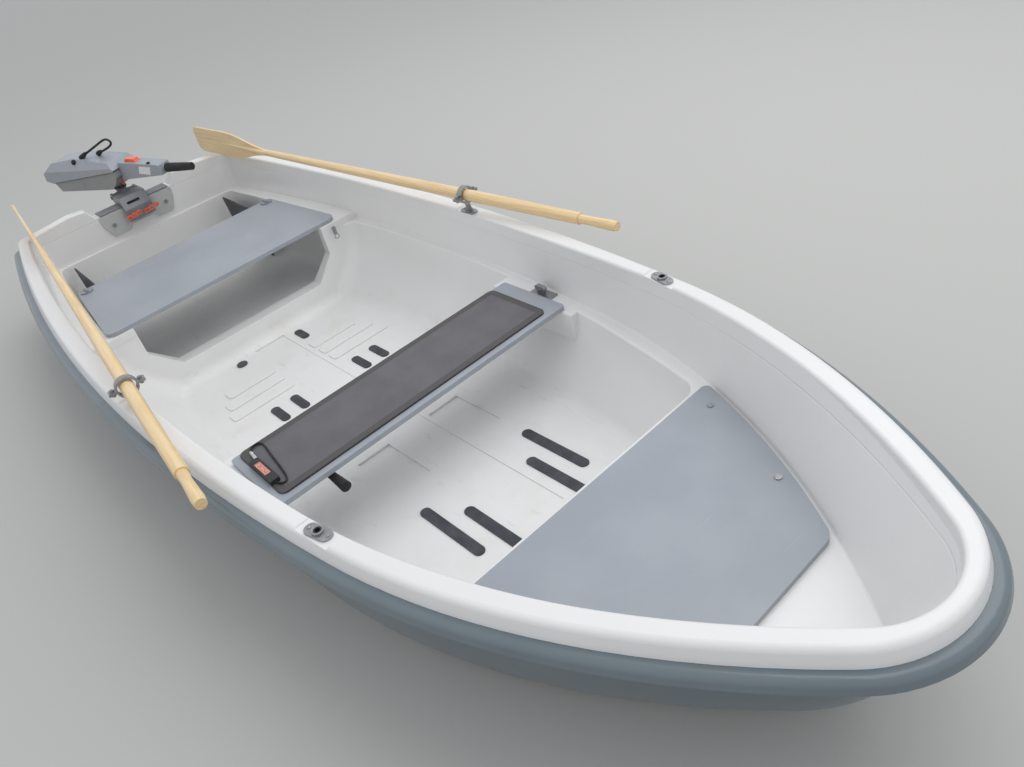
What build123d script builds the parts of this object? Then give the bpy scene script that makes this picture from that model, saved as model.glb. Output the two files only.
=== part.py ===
from build123d import *
import math
import os

# A double-skinned rowing boat with oars and a small electric outboard.
# Millimetres. +X runs to the bow, +Y to port, +Z up, and the origin is on the waterline.

os.makedirs("parts", exist_ok=True)

# Driving sizes
MID_X = -315
SHEER_LOW_X = -540
SHEER_LOW_Z = 396
SHEER_RADIUS = 36000
LIP_DROP = (-49, -39, -37)
RIM_DRAFT = 0.325
RIM_LEVEL = 350
FLANGE_DEPTH = 24
FLANGE_ROUND = 16
STERN_CORNER = 50
RIM_ROUND = 14
INNER_ROUND = 8
FOOT_ROUND = 8
LEDGE_ROUND = 6
FLOOR_ROUND = 55
SKIN = 4
GAP = 0.3
LEDGE_Z = 209
STERN_LEDGE_Z = 239
BOARD = 16
FLOOR_Z = -48
FLOOR_RISE = 0.033
TRANSOM_IN = -1877
NOTCH_HALF = 186
NOTCH_Z = 381
HUMP_Z = 438

# Waterlines of the grey hull, keel first:
# height, half beam, half beam at the transom, transom x, bow x, flank radius, turn x, shoulder radius
HULL_LINES = [
    (-120, 360, 300, -1894, 1130, 7000, 480, 1300),
    (-85, 480, 385, -1902, 1370, 8000, 560, 1420),
    (-10, 572, 455, -1912, 1590, 9000, 620, 1580),
    (80, 622, 495, -1922, 1722, 9500, 680, 1740),
    (210, 652, 520, -1930, 1826, 10000, 700, 1930),
    (340, 660, 527, -1935, 1878, 10250, 712, 2000),
    (470, 667, 533, -1938, 1918, 10440, 720, 2060),
]
LIP_LINE = (698, 542, -1953, 1946, 8400, 900, 2020)
FLANGE_LINE = (722, 566, -1958, 1970, 8424, 900, 2044)
EDGE_LINE = (626, 484, TRANSOM_IN, 1874, 9400, 753, 2116)
FOOT_LINE = (628, 490, TRANSOM_IN, 1778, 7560, 630, 2070)

# Cockpit bays below the ledge:
# height, aft x, fore x, half widths aft, amidships and fore, x of the middle one, corner radius
COCKPIT_LINES = [
    (LEDGE_Z + 1, -925, 1040, 575, 602, 440, -50, 60),
    (90, -918, 1010, 548, 570, 405, -50, 70),
    (0, -905, 950, 480, 505, 350, -50, 80),
    (-90, -885, 870, 395, 415, 290, -50, 80),
]
STERN_LINES = [
    (STERN_LEDGE_Z + 1, -1865, -962, 440, 490, 520, -1400, 40),
    (90, -1855, -962, 425, 475, 495, -1400, 40),
    (-20, -1835, -970, 400, 440, 455, -1400, 40),
]

# Oarlock sockets: x, y
AFT_SOCKET = (-98, 642)
FORE_SOCKET = (842, 571)
SOCKET_BORE = 6.5
BUSH_R = 10
BOSS_R = 14
SOCKET_DEPTH = 32
SADDLE = 5

# Outboard: the steering axis and the way the tiller points in the photograph
STEER_X = -1992
STEER_TURN = 26


def shift(line, d):
    """The same waterline, moved inwards by d."""
    beam, stern_beam, stern_x, bow_x, flank, turn_x, shoulder = line
    return (beam - d, stern_beam - d, stern_x + d, bow_x - d, flank - d, turn_x, shoulder - d)


def waterline(z, beam, stern_beam, stern_x, bow_x, flank, turn_x, shoulder):
    """A closed plan outline of tangent arcs with a straight transom and a round bow."""
    cx1, cy1 = MID_X, beam - flank
    ux = (turn_x - cx1) / flank
    uy = math.sqrt(1 - ux * ux)
    q1 = (turn_x, cy1 + flank * uy)
    cx2, cy2 = q1[0] - shoulder * ux, q1[1] - shoulder * uy
    d = bow_x - cx2
    r = (shoulder**2 - d**2 - cy2**2) / (2 * (shoulder - d))
    cx3 = bow_x - r
    gap = math.hypot(cx3 - cx2, cy2)
    vx, vy = (cx3 - cx2) / gap, -cy2 / gap
    q2 = (cx2 + shoulder * vx, cy2 + shoulder * vy)
    aft = ((MID_X - stern_x) ** 2 + (beam - stern_beam) ** 2) / (2 * (beam - stern_beam))
    a = math.asin((MID_X - stern_x) / aft) / 2
    m0 = (MID_X - aft * math.sin(a), beam - aft + aft * math.cos(a))
    b = math.asin(ux) / 2
    m1 = (cx1 + flank * math.sin(b), cy1 + flank * math.cos(b))
    t = (math.atan2(uy, ux) + math.atan2(vy, vx)) / 2
    m2 = (cx2 + shoulder * math.cos(t), cy2 + shoulder * math.sin(t))
    s = math.atan2(vy, vx) / 2
    m3 = (cx3 + r * math.cos(s), r * math.sin(s))
    with BuildSketch(Plane.XY.offset(z)) as outline:
        with BuildLine():
            ThreePointArc((stern_x, stern_beam), m0, (MID_X, beam))
            ThreePointArc((MID_X, beam), m1, q1)
            ThreePointArc(q1, m2, q2)
            ThreePointArc(q2, m3, (bow_x, 0))
            ThreePointArc((bow_x, 0), (m3[0], -m3[1]), (q2[0], -q2[1]))
            ThreePointArc((q2[0], -q2[1]), (m2[0], -m2[1]), (q1[0], -q1[1]))
            ThreePointArc((q1[0], -q1[1]), (m1[0], -m1[1]), (MID_X, -beam))
            ThreePointArc((MID_X, -beam), (m0[0], -m0[1]), (stern_x, -stern_beam))
            Line((stern_x, -stern_beam), (stern_x, stern_beam))
        make_face()
        fillet(outline.vertices().group_by(Axis.X)[0], STERN_CORNER)
    return outline.sketch


def bay(z, aft_x, fore_x, aft_y, mid_y, fore_y, mid_x, corner):
    """A plan outline with bowed sides, straight ends and round corners."""
    with BuildSketch(Plane.XY.offset(z)) as outline:
        with BuildLine():
            ThreePointArc((aft_x, aft_y), (mid_x, mid_y), (fore_x, fore_y))
            Line((fore_x, fore_y), (fore_x, -fore_y))
            ThreePointArc((fore_x, -fore_y), (mid_x, -mid_y), (aft_x, -aft_y))
            Line((aft_x, -aft_y), (aft_x, aft_y))
        make_face()
        fillet(outline.vertices(), corner)
    return outline.sketch


def disc(plane, radius):
    with BuildSketch(plane) as face:
        Circle(radius)
    return face.sketch


def sheer_z(x):
    return SHEER_LOW_Z + (x - SHEER_LOW_X) ** 2 / (2 * SHEER_RADIUS)


def level(up):
    return (up, up, up)


def lip(up):
    """Heights above the sheer line of an arc that runs the given distance above the rim's lower edge."""
    return tuple(drop + up for drop in LIP_DROP)


def sheer_band(low, high):
    """The side view between two arcs, each given by its heights above the sheer line aft, amidships and ahead."""
    aft, middle, fore = [[(x, sheer_z(x) + up) for up in pair] for x, pair in zip((-2500, 0, 2500), zip(low, high))]
    with BuildSketch(Plane.XZ) as band:
        with BuildLine():
            ThreePointArc(aft[0], middle[0], fore[0])
            Line(fore[0], fore[1])
            ThreePointArc(fore[1], middle[1], aft[1])
            Line(aft[1], aft[0])
        make_face()
    return band.sketch


def floor_at(x):
    return FLOOR_Z + FLOOR_RISE * x


def on_floor(x, y, up=0):
    """A plane on the sloping floor, or the given height above it."""
    return Plane(origin=(x, y, floor_at(x) + up), x_dir=(1, 0, FLOOR_RISE), z_dir=(-FLOOR_RISE, 0, 1))


def drafted(line, low, high):
    """A block whose plan follows the line at the rim's level and draws in as it rises."""
    return [waterline(z, *shift(line, (z - RIM_LEVEL) * RIM_DRAFT)) for z in (low, high)]


# Hull: the grey outer skin with its rubbing flange, keel and a tight bow
with BuildPart() as hull_form:
    loft(sections=[waterline(*row) for row in HULL_LINES])
with BuildPart() as hull_shell:
    add(hull_form.part)
    with BuildSketch(Plane.XZ) as keel_side:
        Polygon((-1892, -112), (-1892, -150), (700, -150), (1100, -112), align=None)
    extrude(amount=16, both=True)
    extrude(sheer_band(LIP_DROP, level(400)), amount=900, both=True, mode=Mode.SUBTRACT)
with BuildPart() as flange:
    loft(sections=drafted(FLANGE_LINE, 240, 500), ruled=True)
    extrude(sheer_band(lip(-FLANGE_DEPTH), LIP_DROP), amount=900, both=True, mode=Mode.INTERSECT)
    fillet(flange.edges().filter_by(lambda e: e.length > 40 and e.center().Z > sheer_z(e.center().X) - 54), FLANGE_ROUND)
    with Locations((-2000, 0, 350)):
        Box(200, 560, 200, mode=Mode.SUBTRACT)
with BuildPart() as hull_room:
    loft(sections=[waterline(row[0] + (SKIN if row[0] < -100 else 0), *shift(row[1:], SKIN)) for row in HULL_LINES])
hull_shell_solid = hull_shell.part + flange.part - hull_room.part
hull_shell_solid.label = "hull_shell"
export_step(hull_shell_solid, "parts/hull_shell.step")

# Liner: the white inner moulding with the rim, ledge, floor and stern locker
with BuildPart() as cockpit:
    loft(sections=[bay(*row) for row in COCKPIT_LINES])
    with BuildSketch(Plane.XZ) as over_floor:
        Polygon((-1200, floor_at(-1200)), (1200, floor_at(1200)), (1200, 600), (-1200, 600), align=None)
    extrude(amount=900, both=True, mode=Mode.INTERSECT)
    fillet(cockpit.edges().filter_by(lambda e: e.bounding_box().max.Z < 0), FLOOR_ROUND)
    with Locations((300, 590, 160), (300, -590, 160)):
        Box(380, 140, 2 * (LEDGE_Z - 160), mode=Mode.SUBTRACT)
with BuildPart() as liner:
    loft(sections=[waterline(row[0] + (SKIN if row[0] < -100 else 0), *shift(row[1:], SKIN + GAP))
                   for row in HULL_LINES])
    extrude(sheer_band(level(-20), level(400)), amount=900, both=True, mode=Mode.SUBTRACT)
with BuildPart() as upper_room:
    loft(sections=[waterline(LEDGE_Z, *FOOT_LINE), waterline(440, *EDGE_LINE)], ruled=True)
    fillet(upper_room.edges().filter_by(lambda e: e.bounding_box().max.Z < LEDGE_Z + 1), FOOT_ROUND)
    with BuildSketch(Plane.XY.offset(440)):
        add(waterline(0, *EDGE_LINE))
    extrude(amount=300)
with BuildPart() as rim:
    loft(sections=drafted(LIP_LINE, 240, 560), ruled=True)
    extrude(sheer_band(lip(GAP), level(0)), amount=900, both=True, mode=Mode.INTERSECT)
    fillet(rim.edges().filter_by(lambda e: e.center().Z > sheer_z(e.center().X) - 12), RIM_ROUND)
    add(upper_room.part, mode=Mode.SUBTRACT)
    fillet(rim.edges(Select.LAST).filter_by(lambda e: abs(e.center().Z - sheer_z(e.center().X)) < 1), INNER_ROUND)
with BuildPart() as notch_room:
    with Locations((-1950, 0, NOTCH_Z + 60)):
        Box(200, 600, 120)
with BuildPart() as transom_crown:
    loft(sections=drafted(LIP_LINE, 240, 560), ruled=True)
    with BuildSketch(Plane.YZ.offset(-2000)) as crown_face:
        Polygon((-505, 340), (-505, 417), (-290, HUMP_Z), (-218, HUMP_Z - 6), (-NOTCH_HALF, NOTCH_Z), (NOTCH_HALF, NOTCH_Z),
                (218, HUMP_Z - 6), (290, HUMP_Z), (505, 417), (505, 340), align=None)
        fillet(crown_face.vertices().filter_by(lambda v: abs(v.Y) < NOTCH_HALF + 1), 14)
        fillet(crown_face.vertices().filter_by(lambda v: abs(abs(v.Y) - 218) < 1), 30)
        fillet(crown_face.vertices().filter_by(lambda v: abs(abs(v.Y) - 290) < 1), 120)
    extrude(amount=180, mode=Mode.INTERSECT)
    extrude(sheer_band(lip(GAP), level(100)), amount=900, both=True, mode=Mode.INTERSECT)
    fillet(transom_crown.edges().filter_by(lambda e: e.center().X < -1925 and e.center().Z > NOTCH_Z + 5
                                           and e.bounding_box().size.Y > 5 and abs(e.center().Y) < 480), 10)
    add(upper_room.part, mode=Mode.SUBTRACT)
    fillet(transom_crown.edges(Select.LAST).filter_by(lambda e: e.center().Z > NOTCH_Z + 5 and e.bounding_box().size.Y > 5
                                                      and abs(e.center().Y) < 480), INNER_ROUND)
with BuildPart() as stern_bench:
    with Locations((-1400, 0, (LEDGE_Z + STERN_LEDGE_Z) / 2)):
        Box(954, 1300, STERN_LEDGE_Z - LEDGE_Z)
with BuildPart() as stern_room:
    loft(sections=[bay(*row) for row in STERN_LINES])
    fillet(stern_room.edges().filter_by(lambda e: e.bounding_box().max.Z < 0), 40)
with BuildPart() as bulkhead_opening:
    with BuildSketch(Plane.YZ.offset(-1010)):
        Polygon((-430, 270), (430, 270), (430, 120), (330, 20), (-330, 20), (-430, 120), align=None)
    extrude(amount=200)
with BuildPart() as socket_seats:
    for x, y in (AFT_SOCKET, FORE_SOCKET):
        floor_z = sheer_z(x) - SADDLE
        with BuildSketch(Plane.XZ):
            Polygon((x - 64, floor_z + 14), (x - 56, floor_z), (x + 56, floor_z), (x + 64, floor_z + 14), align=None)
        extrude(amount=900, both=True)
        with BuildSketch(Plane.XY.offset(floor_z - SOCKET_DEPTH)):
            with Locations((x, y), (x, -y)):
                Circle(BOSS_R)
        extrude(amount=SOCKET_DEPTH)

# Floor relief: a centre channel, two foot recesses ahead of the thwart and ribs behind it
with BuildPart() as floor_hollows:
    with BuildSketch(Plane.XZ):
        Polygon((-862, floor_at(-862) - 3), (846, floor_at(846) - 3), (846, floor_at(846) + 3), (-862, floor_at(-862) + 3),
                align=None)
    extrude(amount=69, both=True)
    for side in (-1, 1):
        with BuildSketch(Plane.XZ.offset(-side * 148)):
            Polygon((176, floor_at(176) - 8), (412, floor_at(412) - 3), (412, floor_at(412) + 3), (176, floor_at(176) + 3),
                    align=None)
        extrude(amount=62, both=True)
with BuildPart() as floor_ribs:
    for side in (-1, 1):
        for x, outer in ((-652, 298), (-570, 334), (-488, 356)):
            with BuildSketch(on_floor(x, side * (92 + outer) / 2, -2)):
                RectangleRounded(66, outer - 92, 14)
            extrude(amount=7)

room = upper_room.part - stern_bench.part + cockpit.part + stern_room.part + bulkhead_opening.part + socket_seats.part
room = room + floor_hollows.part - floor_ribs.part
liner_solid = liner.part + rim.part - notch_room.part + transom_crown.part - room
ledge_edges = liner_solid.edges().filter_by(
    lambda e: abs(e.bounding_box().max.Z - LEDGE_Z) < 0.3 and e.bounding_box().size.Z < 0.3
    and -918 < e.center().X < 1045 and abs(e.center().Y) < 602)
liner_solid = liner_solid.fillet(LEDGE_ROUND, ledge_edges)
liner_solid.label = "liner"
export_step(liner_solid, "parts/liner.step")

# Boards: blue-grey seat boards laid on the ledge
with BuildPart() as thwart:
    with BuildSketch(Plane.XY.offset(LEDGE_Z)):
        with Locations((300, 0)):
            RectangleRounded(296, 1080, 12)
    extrude(amount=BOARD)
thwart.part.label = "thwart"
export_step(thwart.part, "parts/thwart.step")

with BuildPart() as stern_seat:
    with BuildSketch(Plane.XY.offset(STERN_LEDGE_Z)) as stern_board:
        Polygon((-1476, -474), (-936, -524), (-936, 524), (-1476, 474), align=None)
        fillet(stern_board.vertices().group_by(Axis.X)[-1], 38)
        fillet(stern_board.vertices().group_by(Axis.X)[0], 20)
    extrude(amount=BOARD)
stern_seat.part.label = "stern_seat"
export_step(stern_seat.part, "parts/stern_seat.step")

with BuildPart() as bow_seat:
    with BuildSketch(Plane.XY.offset(LEDGE_Z)) as bow_board:
        add(waterline(0, *shift(FOOT_LINE, 12)))
        with Locations((1320, 0)):
            Rectangle(516, 1200, mode=Mode.INTERSECT)
        fillet(bow_board.vertices().group_by(Axis.X)[-1], 45)
        fillet(bow_board.vertices().group_by(Axis.X)[0], 16)
    extrude(amount=BOARD)
bow_seat.part.label = "bow_seat"
export_step(bow_seat.part, "parts/bow_seat.step")

# Charging panel on the thwart with its lead and box
PANEL_TOP = LEDGE_Z + BOARD
with BuildPart() as thwart_panel:
    with BuildSketch(Plane.XY.offset(PANEL_TOP)):
        with Locations((290, -18)):
            RectangleRounded(270, 994, 22)
    extrude(amount=5)
thwart_panel.part.label = "thwart_panel"
export_step(thwart_panel.part, "parts/thwart_panel.step")

with BuildPart() as panel_box:
    with BuildSketch(Plane.XY.offset(PANEL_TOP + 5)):
        with Locations((302, -500)):
            RectangleRounded(132, 30, 6)
    extrude(amount=13)
panel_box.part.label = "panel_box"
export_step(panel_box.part, "parts/panel_box.step")

LEAD_ROUTE = [(368.3, -500, 233.3), (386, -496, 233.3), (392, -474, 233.3), (330, -462, 233.3), (240, -452, 233.3),
              (180, -442, 233.3), (163, -456, 233.3), (170, -484, 233.3), (196, -486, 233.3)]
with BuildPart() as panel_lead:
    with BuildLine() as lead_path:
        FilletPolyline(*LEAD_ROUTE, radius=[12, 12, 150, 200, 20, 18, 14])
    with BuildSketch(Plane(origin=lead_path.line @ 0, z_dir=lead_path.line % 0)):
        Circle(3)
    sweep()
panel_lead.part.label = "panel_lead"
export_step(panel_lead.part, "parts/panel_lead.step")

# Latches that hold the thwart down at both ends
with BuildPart() as thwart_latches:
    for side in (-1, 1):
        with Locations((316, side * 566, LEDGE_Z + 3)):
            Box(96, 44, 6)
        with Locations((316, side * 562, LEDGE_Z + 16)):
            Box(22, 18, 20)
        with BuildSketch(Plane.XZ.offset(-side * 562)):
            with Locations((316, LEDGE_Z + 30)):
                SlotCenterToCenter(30, 16)
        extrude(amount=7, both=True)
thwart_latches.part.label = "thwart_latches"
export_step(thwart_latches.part, "parts/thwart_latches.step")

# Grip under the thwart
with BuildPart() as release_grip:
    with BuildSketch(Plane.YZ.offset(404)):
        with Locations((-372, LEDGE_Z - 22)):
            Circle(11)
    extrude(amount=-40)
    with BuildSketch(Plane.YZ.offset(404)):
        with Locations((-372, LEDGE_Z - 22)):
            Circle(11)
    extrude(amount=96, taper=-3)
    with Locations((382, -372, LEDGE_Z - 6)):
        Box(26, 12, 12)
release_grip.part.label = "release_grip"
export_step(release_grip.part, "parts/release_grip.step")

# Quarter-turn knobs on the stern seat
with BuildPart() as seat_knobs:
    for side in (-1, 1):
        with Locations((-1440, side * 440, STERN_LEDGE_Z + BOARD + 3)):
            Cylinder(26, 6)
        with Locations((-1440, side * 440, STERN_LEDGE_Z + BOARD + 9)):
            Box(40, 9, 8)
seat_knobs.part.label = "seat_knobs"
export_step(seat_knobs.part, "parts/seat_knobs.step")

# Screws of the bow seat
with BuildPart() as seat_screws:
    for x, y in ((1126, 384), (1126, -384), (1400, 262), (1400, -262)):
        with Locations((x, y, PANEL_TOP + 1.5)):
            Cylinder(9, 3)
seat_screws.part.label = "seat_screws"
export_step(seat_screws.part, "parts/seat_screws.step")

# Partition plates standing in the stern locker
with BuildPart() as locker_partitions:
    for side in (-1, 1):
        with BuildSketch(Plane.XZ.offset(-side * 386)):
            Polygon((-1838, 232), (-1480, 232), (-1480, -12), (-1792, 2), align=None)
        extrude(amount=3, both=True)
locker_partitions.part.label = "locker_partitions"
export_step(locker_partitions.part, "parts/locker_partitions.step")

# Clip and ring under the stern seat's port corner
with BuildPart() as seat_clip:
    with Locations((-900, 478, 214)):
        Box(10, 14, 34)
    with Locations(Location((-895, 478, 188), (0, 90, 0))):
        Torus(10, 2)
seat_clip.part.label = "seat_clip"
export_step(seat_clip.part, "parts/seat_clip.step")


# Non-slip pads let on to the floor: x, y, length
PADS = [(-337, 225, 120), (-337, -225, 120), (-337, 141, 120), (-337, -141, 120), (-784, 120, 98)]
PADS += [(671, 206, 280), (671, -206, 280), (757, 124, 236), (757, -124, 236)]
with BuildPart() as floor_pads:
    for x, y, length in PADS:
        with BuildSketch(on_floor(x, y)):
            SlotOverall(length, 34)
        extrude(amount=4)
floor_pads.part.label = "floor_pads"
export_step(floor_pads.part, "parts/floor_pads.step")

# Drain plugs in the floor and in the transom's inner face
with BuildPart() as drain_plugs:
    with BuildSketch(on_floor(-822, -150)):
        Circle(22)
    extrude(amount=6)
    with BuildSketch(Plane.YZ.offset(-1848)):
        with Locations((0, 70)):
            Circle(24)
    extrude(amount=12)
drain_plugs.part.label = "drain_plugs"
export_step(drain_plugs.part, "parts/drain_plugs.step")

# Sockets: cast flanges with a boss sunk through the rim and a black bush in each
with BuildPart() as oarlock_sockets:
    for x, y in (AFT_SOCKET, FORE_SOCKET):
        for side in (-1, 1):
            floor_z = sheer_z(x) - SADDLE
            with BuildSketch(Plane.XY.offset(floor_z)):
                with Locations(Location((x, side * y), -side * (14 if x > 0 else 0))):
                    SlotOverall(78, 34)
            extrude(amount=5)
            with BuildSketch(Plane.XY.offset(floor_z + 10)):
                with Locations((x, side * y)):
                    Circle(BOSS_R)
            extrude(amount=-10 - SOCKET_DEPTH)
            with BuildSketch(Plane.XY.offset(floor_z + 10)):
                with Locations((x, side * y)):
                    Circle(BUSH_R)
            extrude(amount=-SOCKET_DEPTH - 6, mode=Mode.SUBTRACT)
oarlock_sockets.part.label = "oarlock_sockets"
export_step(oarlock_sockets.part, "parts/oarlock_sockets.step")

with BuildPart() as socket_bushes:
    for x, y in (AFT_SOCKET, FORE_SOCKET):
        with BuildSketch(Plane.XY.offset(sheer_z(x) - SADDLE + 10)):
            with Locations((x, y), (x, -y)):
                Circle(BUSH_R)
                Circle(SOCKET_BORE, mode=Mode.SUBTRACT)
        extrude(amount=-SOCKET_DEPTH)
socket_bushes.part.label = "socket_bushes"
export_step(socket_bushes.part, "parts/socket_bushes.step")

# Oarlocks: a strap ring bolted through two ears, on a pin that turns in the bush
BOSS_TOP = sheer_z(AFT_SOCKET[0]) - SADDLE + 10
RING_Z = BOSS_TOP + 56
PIN_DEPTH = 36
RING_IN = 27
RING_OUT = 32
OAR_R = 21
OAR_TOE = math.radians(5.75)
OAR_FALL = -0.0166
for name, side in (("port", 1), ("starboard", -1)):
    x, y = AFT_SOCKET[0], side * AFT_SOCKET[1]
    ahead = (math.cos(OAR_TOE), side * math.sin(OAR_TOE), 0)
    across = Plane(origin=(x, y, RING_Z), z_dir=ahead, x_dir=(-side * math.sin(OAR_TOE), math.cos(OAR_TOE), 0))
    ears = [across.from_local_coords((offset, 0, 0)) for offset in (-41, 41)]
    with BuildPart() as oarlock:
        with BuildSketch(across):
            Circle(RING_OUT)
            with Locations((-41, 0), (41, 0)):
                Rectangle(24, 9)
            Circle(RING_IN, mode=Mode.SUBTRACT)
        extrude(amount=11, both=True)
        for centre in ears:
            with BuildSketch(Plane(origin=(centre.X, centre.Y, RING_Z - 13))):
                Circle(4)
            extrude(amount=24)
            for z in (RING_Z - 10, RING_Z + 4.5):
                with BuildSketch(Plane(origin=(centre.X, centre.Y, z))):
                    RegularPolygon(7.5, 6)
                extrude(amount=5.5)
        with BuildSketch(Plane(origin=(x, y, BOSS_TOP - PIN_DEPTH))):
            Circle(SOCKET_BORE - 0.06)
        extrude(amount=PIN_DEPTH + 28)
        with BuildSketch(Plane(origin=(x, y, BOSS_TOP + 0.5))):
            Circle(12)
        extrude(amount=3)
        with BuildSketch(Plane(origin=(x, y, BOSS_TOP + 3.5))):
            RegularPolygon(10.5, 6)
        extrude(amount=10)
        with BuildSketch(Plane(origin=(x, y, BOSS_TOP + 13.5))):
            Circle(9)
        extrude(amount=12)
    oarlock.part.label = "oarlock_" + name
    export_step(oarlock.part, "parts/oarlock_" + name + ".step")

# Oars: a pine shaft with a turned handle, its flat blade standing on edge over the stern
for name, side in (("port", 1), ("starboard", -1)):
    ahead = (math.cos(OAR_TOE), side * math.sin(OAR_TOE), OAR_FALL)
    upright = Plane(origin=(AFT_SOCKET[0], side * AFT_SOCKET[1], RING_Z), x_dir=ahead,
                    z_dir=(-side * math.sin(OAR_TOE), math.cos(OAR_TOE), 0))
    across = Plane(origin=upright.origin, z_dir=upright.x_dir, x_dir=upright.z_dir)
    with BuildPart() as oar:
        for sections in (((-1770, 4.5), (-1290, 14)), ((-1290, 14), (-300, OAR_R - 1)), ((-300, OAR_R - 1), (120, OAR_R)),
                         ((120, OAR_R), (520, 19)), ((520, 15), (560, 14)), ((560, 14), (640, 17)), ((640, 17), (664, 15))):
            loft(sections=[disc(across.offset(s), r) for s, r in sections])
        with BuildSketch(upright) as blade_face:
            with BuildLine():
                for up in (-1, 1):
                    Line((-1290, 0), (-1290, up * 13))
                    curve = TangentArc((-1290, up * 13), (-1450, up * 38), tangent=(-1, up * 0.06))
                    TangentArc(curve @ 1, (-1700, up * 62), tangent=curve % 1)
                    Line((-1700, up * 62), (-1895, up * 62))
                    ThreePointArc((-1895, up * 62), (-1916, up * 54), (-1928, up * 36))
                    Line((-1928, up * 36), (-1928, 0))
            make_face()
        extrude(amount=4.5, both=True)
    oar.part.label = "oar_" + name
    export_step(oar.part, "parts/oar_" + name + ".step")

# Transom pad, its bolts and the trim strip on the motor notch
with BuildPart() as transom_pad:
    with BuildSketch(Plane.YZ.offset(TRANSOM_IN)) as pad_face:
        Polygon((-182, 379), (182, 379), (176, 330), (150, 271), (72, 271), (52, 293), (-52, 293), (-72, 271),
                (-150, 271), (-176, 330), align=None)
        fillet(pad_face.vertices().filter_by(lambda v: v.Z < 340), 14)
    extrude(amount=8)
transom_pad.part.label = "transom_pad"
export_step(transom_pad.part, "parts/transom_pad.step")

with BuildPart() as pad_bolts:
    for side in (-1, 1):
        with BuildSketch(Plane.YZ.offset(TRANSOM_IN + 8)):
            with Locations((side * 132, 322)):
                Circle(9)
        extrude(amount=5)
pad_bolts.part.label = "pad_bolts"
export_step(pad_bolts.part, "parts/pad_bolts.step")

with BuildPart() as transom_trim:
    with Locations((-1909, 0, NOTCH_Z + 2)):
        Box(76, 344, 4)
transom_trim.part.label = "transom_trim"
export_step(transom_trim.part, "parts/transom_trim.step")

# Bow eye: a drilled plate on a base let on to the raked stem
STEM = (1780, 0, 150)
STEM_OUT = (0.781, 0, -0.625)
with BuildPart() as bow_eye:
    with BuildSketch(Plane(origin=STEM, x_dir=(0, 1, 0), z_dir=STEM_OUT).offset(-14)):
        RectangleRounded(34, 60, 8)
    extrude(amount=21)
    with BuildSketch(Plane(origin=STEM, x_dir=STEM_OUT, z_dir=(0, -1, 0))):
        with Locations((10, 0)):
            SlotOverall(64, 34)
        with Locations((25, 0)):
            Circle(8, mode=Mode.SUBTRACT)
    extrude(amount=4, both=True)
    add(hull_form.part, mode=Mode.SUBTRACT)
bow_eye.part.label = "bow_eye"
export_step(bow_eye.part, "parts/bow_eye.step")

# Outboard clamp: a hood over the transom with two lugs that carry the tilt pin
TILT_X = -1976
TILT_Z = 408
SCREW_Y = 43
SCREW_Z = 345
with BuildPart() as motor_clamp:
    with BuildSketch(Plane.XZ) as clamp_side:
        Polygon((-1838, 312), (-1838, 368), (-1866, 421), (-1940, 421), (-1959, 398), (-1959, 330), (-1949, 330),
                (-1949, 388), (-1868, 388), (-1848, 360), (-1848, 312), align=None)
    extrude(amount=64, both=True)
    for side in (-1, 1):
        with BuildSketch(Plane.XZ.offset(-side * 56)):
            Polygon((-1955, 386), (-1955, 421), (-1988, 424), (-1992, 392), (-1959, 370), align=None)
        extrude(amount=6, both=True)
    with BuildSketch(Plane.YZ.offset(-1880)):
        with Locations((-8, 392)):
            RectangleRounded(62, 12, 3)
    extrude(amount=60, mode=Mode.SUBTRACT)
    with Locations(Location((TILT_X, 0, TILT_Z), (90, 0, 0))):
        Cylinder(8.05, 140, mode=Mode.SUBTRACT)
    for side in (-1, 1):
        with Locations(Location((-1847, side * SCREW_Y, SCREW_Z), (0, 90, 0))):
            Cylinder(8.2, 30, mode=Mode.SUBTRACT)
motor_clamp.part.label = "motor_clamp"
export_step(motor_clamp.part, "parts/motor_clamp.step")

with BuildPart() as clamp_screws:
    for side in (-1, 1):
        for x, r, length in ((-1865, 15, 6), (-1832, 8, 64)):
            with Locations(Location((x, side * SCREW_Y, SCREW_Z), (0, 90, 0))):
                Cylinder(r, length)
clamp_screws.part.label = "clamp_screws"
export_step(clamp_screws.part, "parts/clamp_screws.step")

with BuildPart() as clamp_handles:
    for side in (-1, 1):
        with BuildSketch(Plane.YZ.offset(-1811)):
            with Locations(Location((side * SCREW_Y, SCREW_Z), 8)):
                SlotOverall(76, 17)
                Circle(13)
                with Locations((-24, 0), (24, 0)):
                    SlotOverall(18, 7, mode=Mode.SUBTRACT)
            with Locations((side * SCREW_Y, SCREW_Z)):
                Circle(8.1, mode=Mode.SUBTRACT)
        extrude(amount=10)
clamp_handles.part.label = "clamp_handles"
export_step(clamp_handles.part, "parts/clamp_handles.step")

# Swivel: turns on the clamp's tilt pin and carries the steering tube
with BuildPart() as motor_swivel:
    with Locations(Location((TILT_X, 0, TILT_Z), (90, 0, 0))):
        Cylinder(8, 136)
        Cylinder(15, 94)
    with Locations((STEER_X, 0, 372)):
        Cylinder(25, 120)
    with Locations((-1984, 0, 405)):
        Box(20, 60, 30)
    with Locations((STEER_X, 0, 372)):
        Cylinder(17.05, 120, mode=Mode.SUBTRACT)
motor_swivel.part.label = "motor_swivel"
export_step(motor_swivel.part, "parts/motor_swivel.step")

# Everything above and below the swivel turns with the steering
turn = math.radians(STEER_TURN)
fore_aft = Plane(origin=(STEER_X, 0, 0), x_dir=(math.cos(turn), math.sin(turn), 0), z_dir=(0, 0, 1))
side_view = Plane(origin=(STEER_X, 0, 0), x_dir=fore_aft.x_dir, z_dir=-fore_aft.y_dir)
POD_Z = -300

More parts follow.
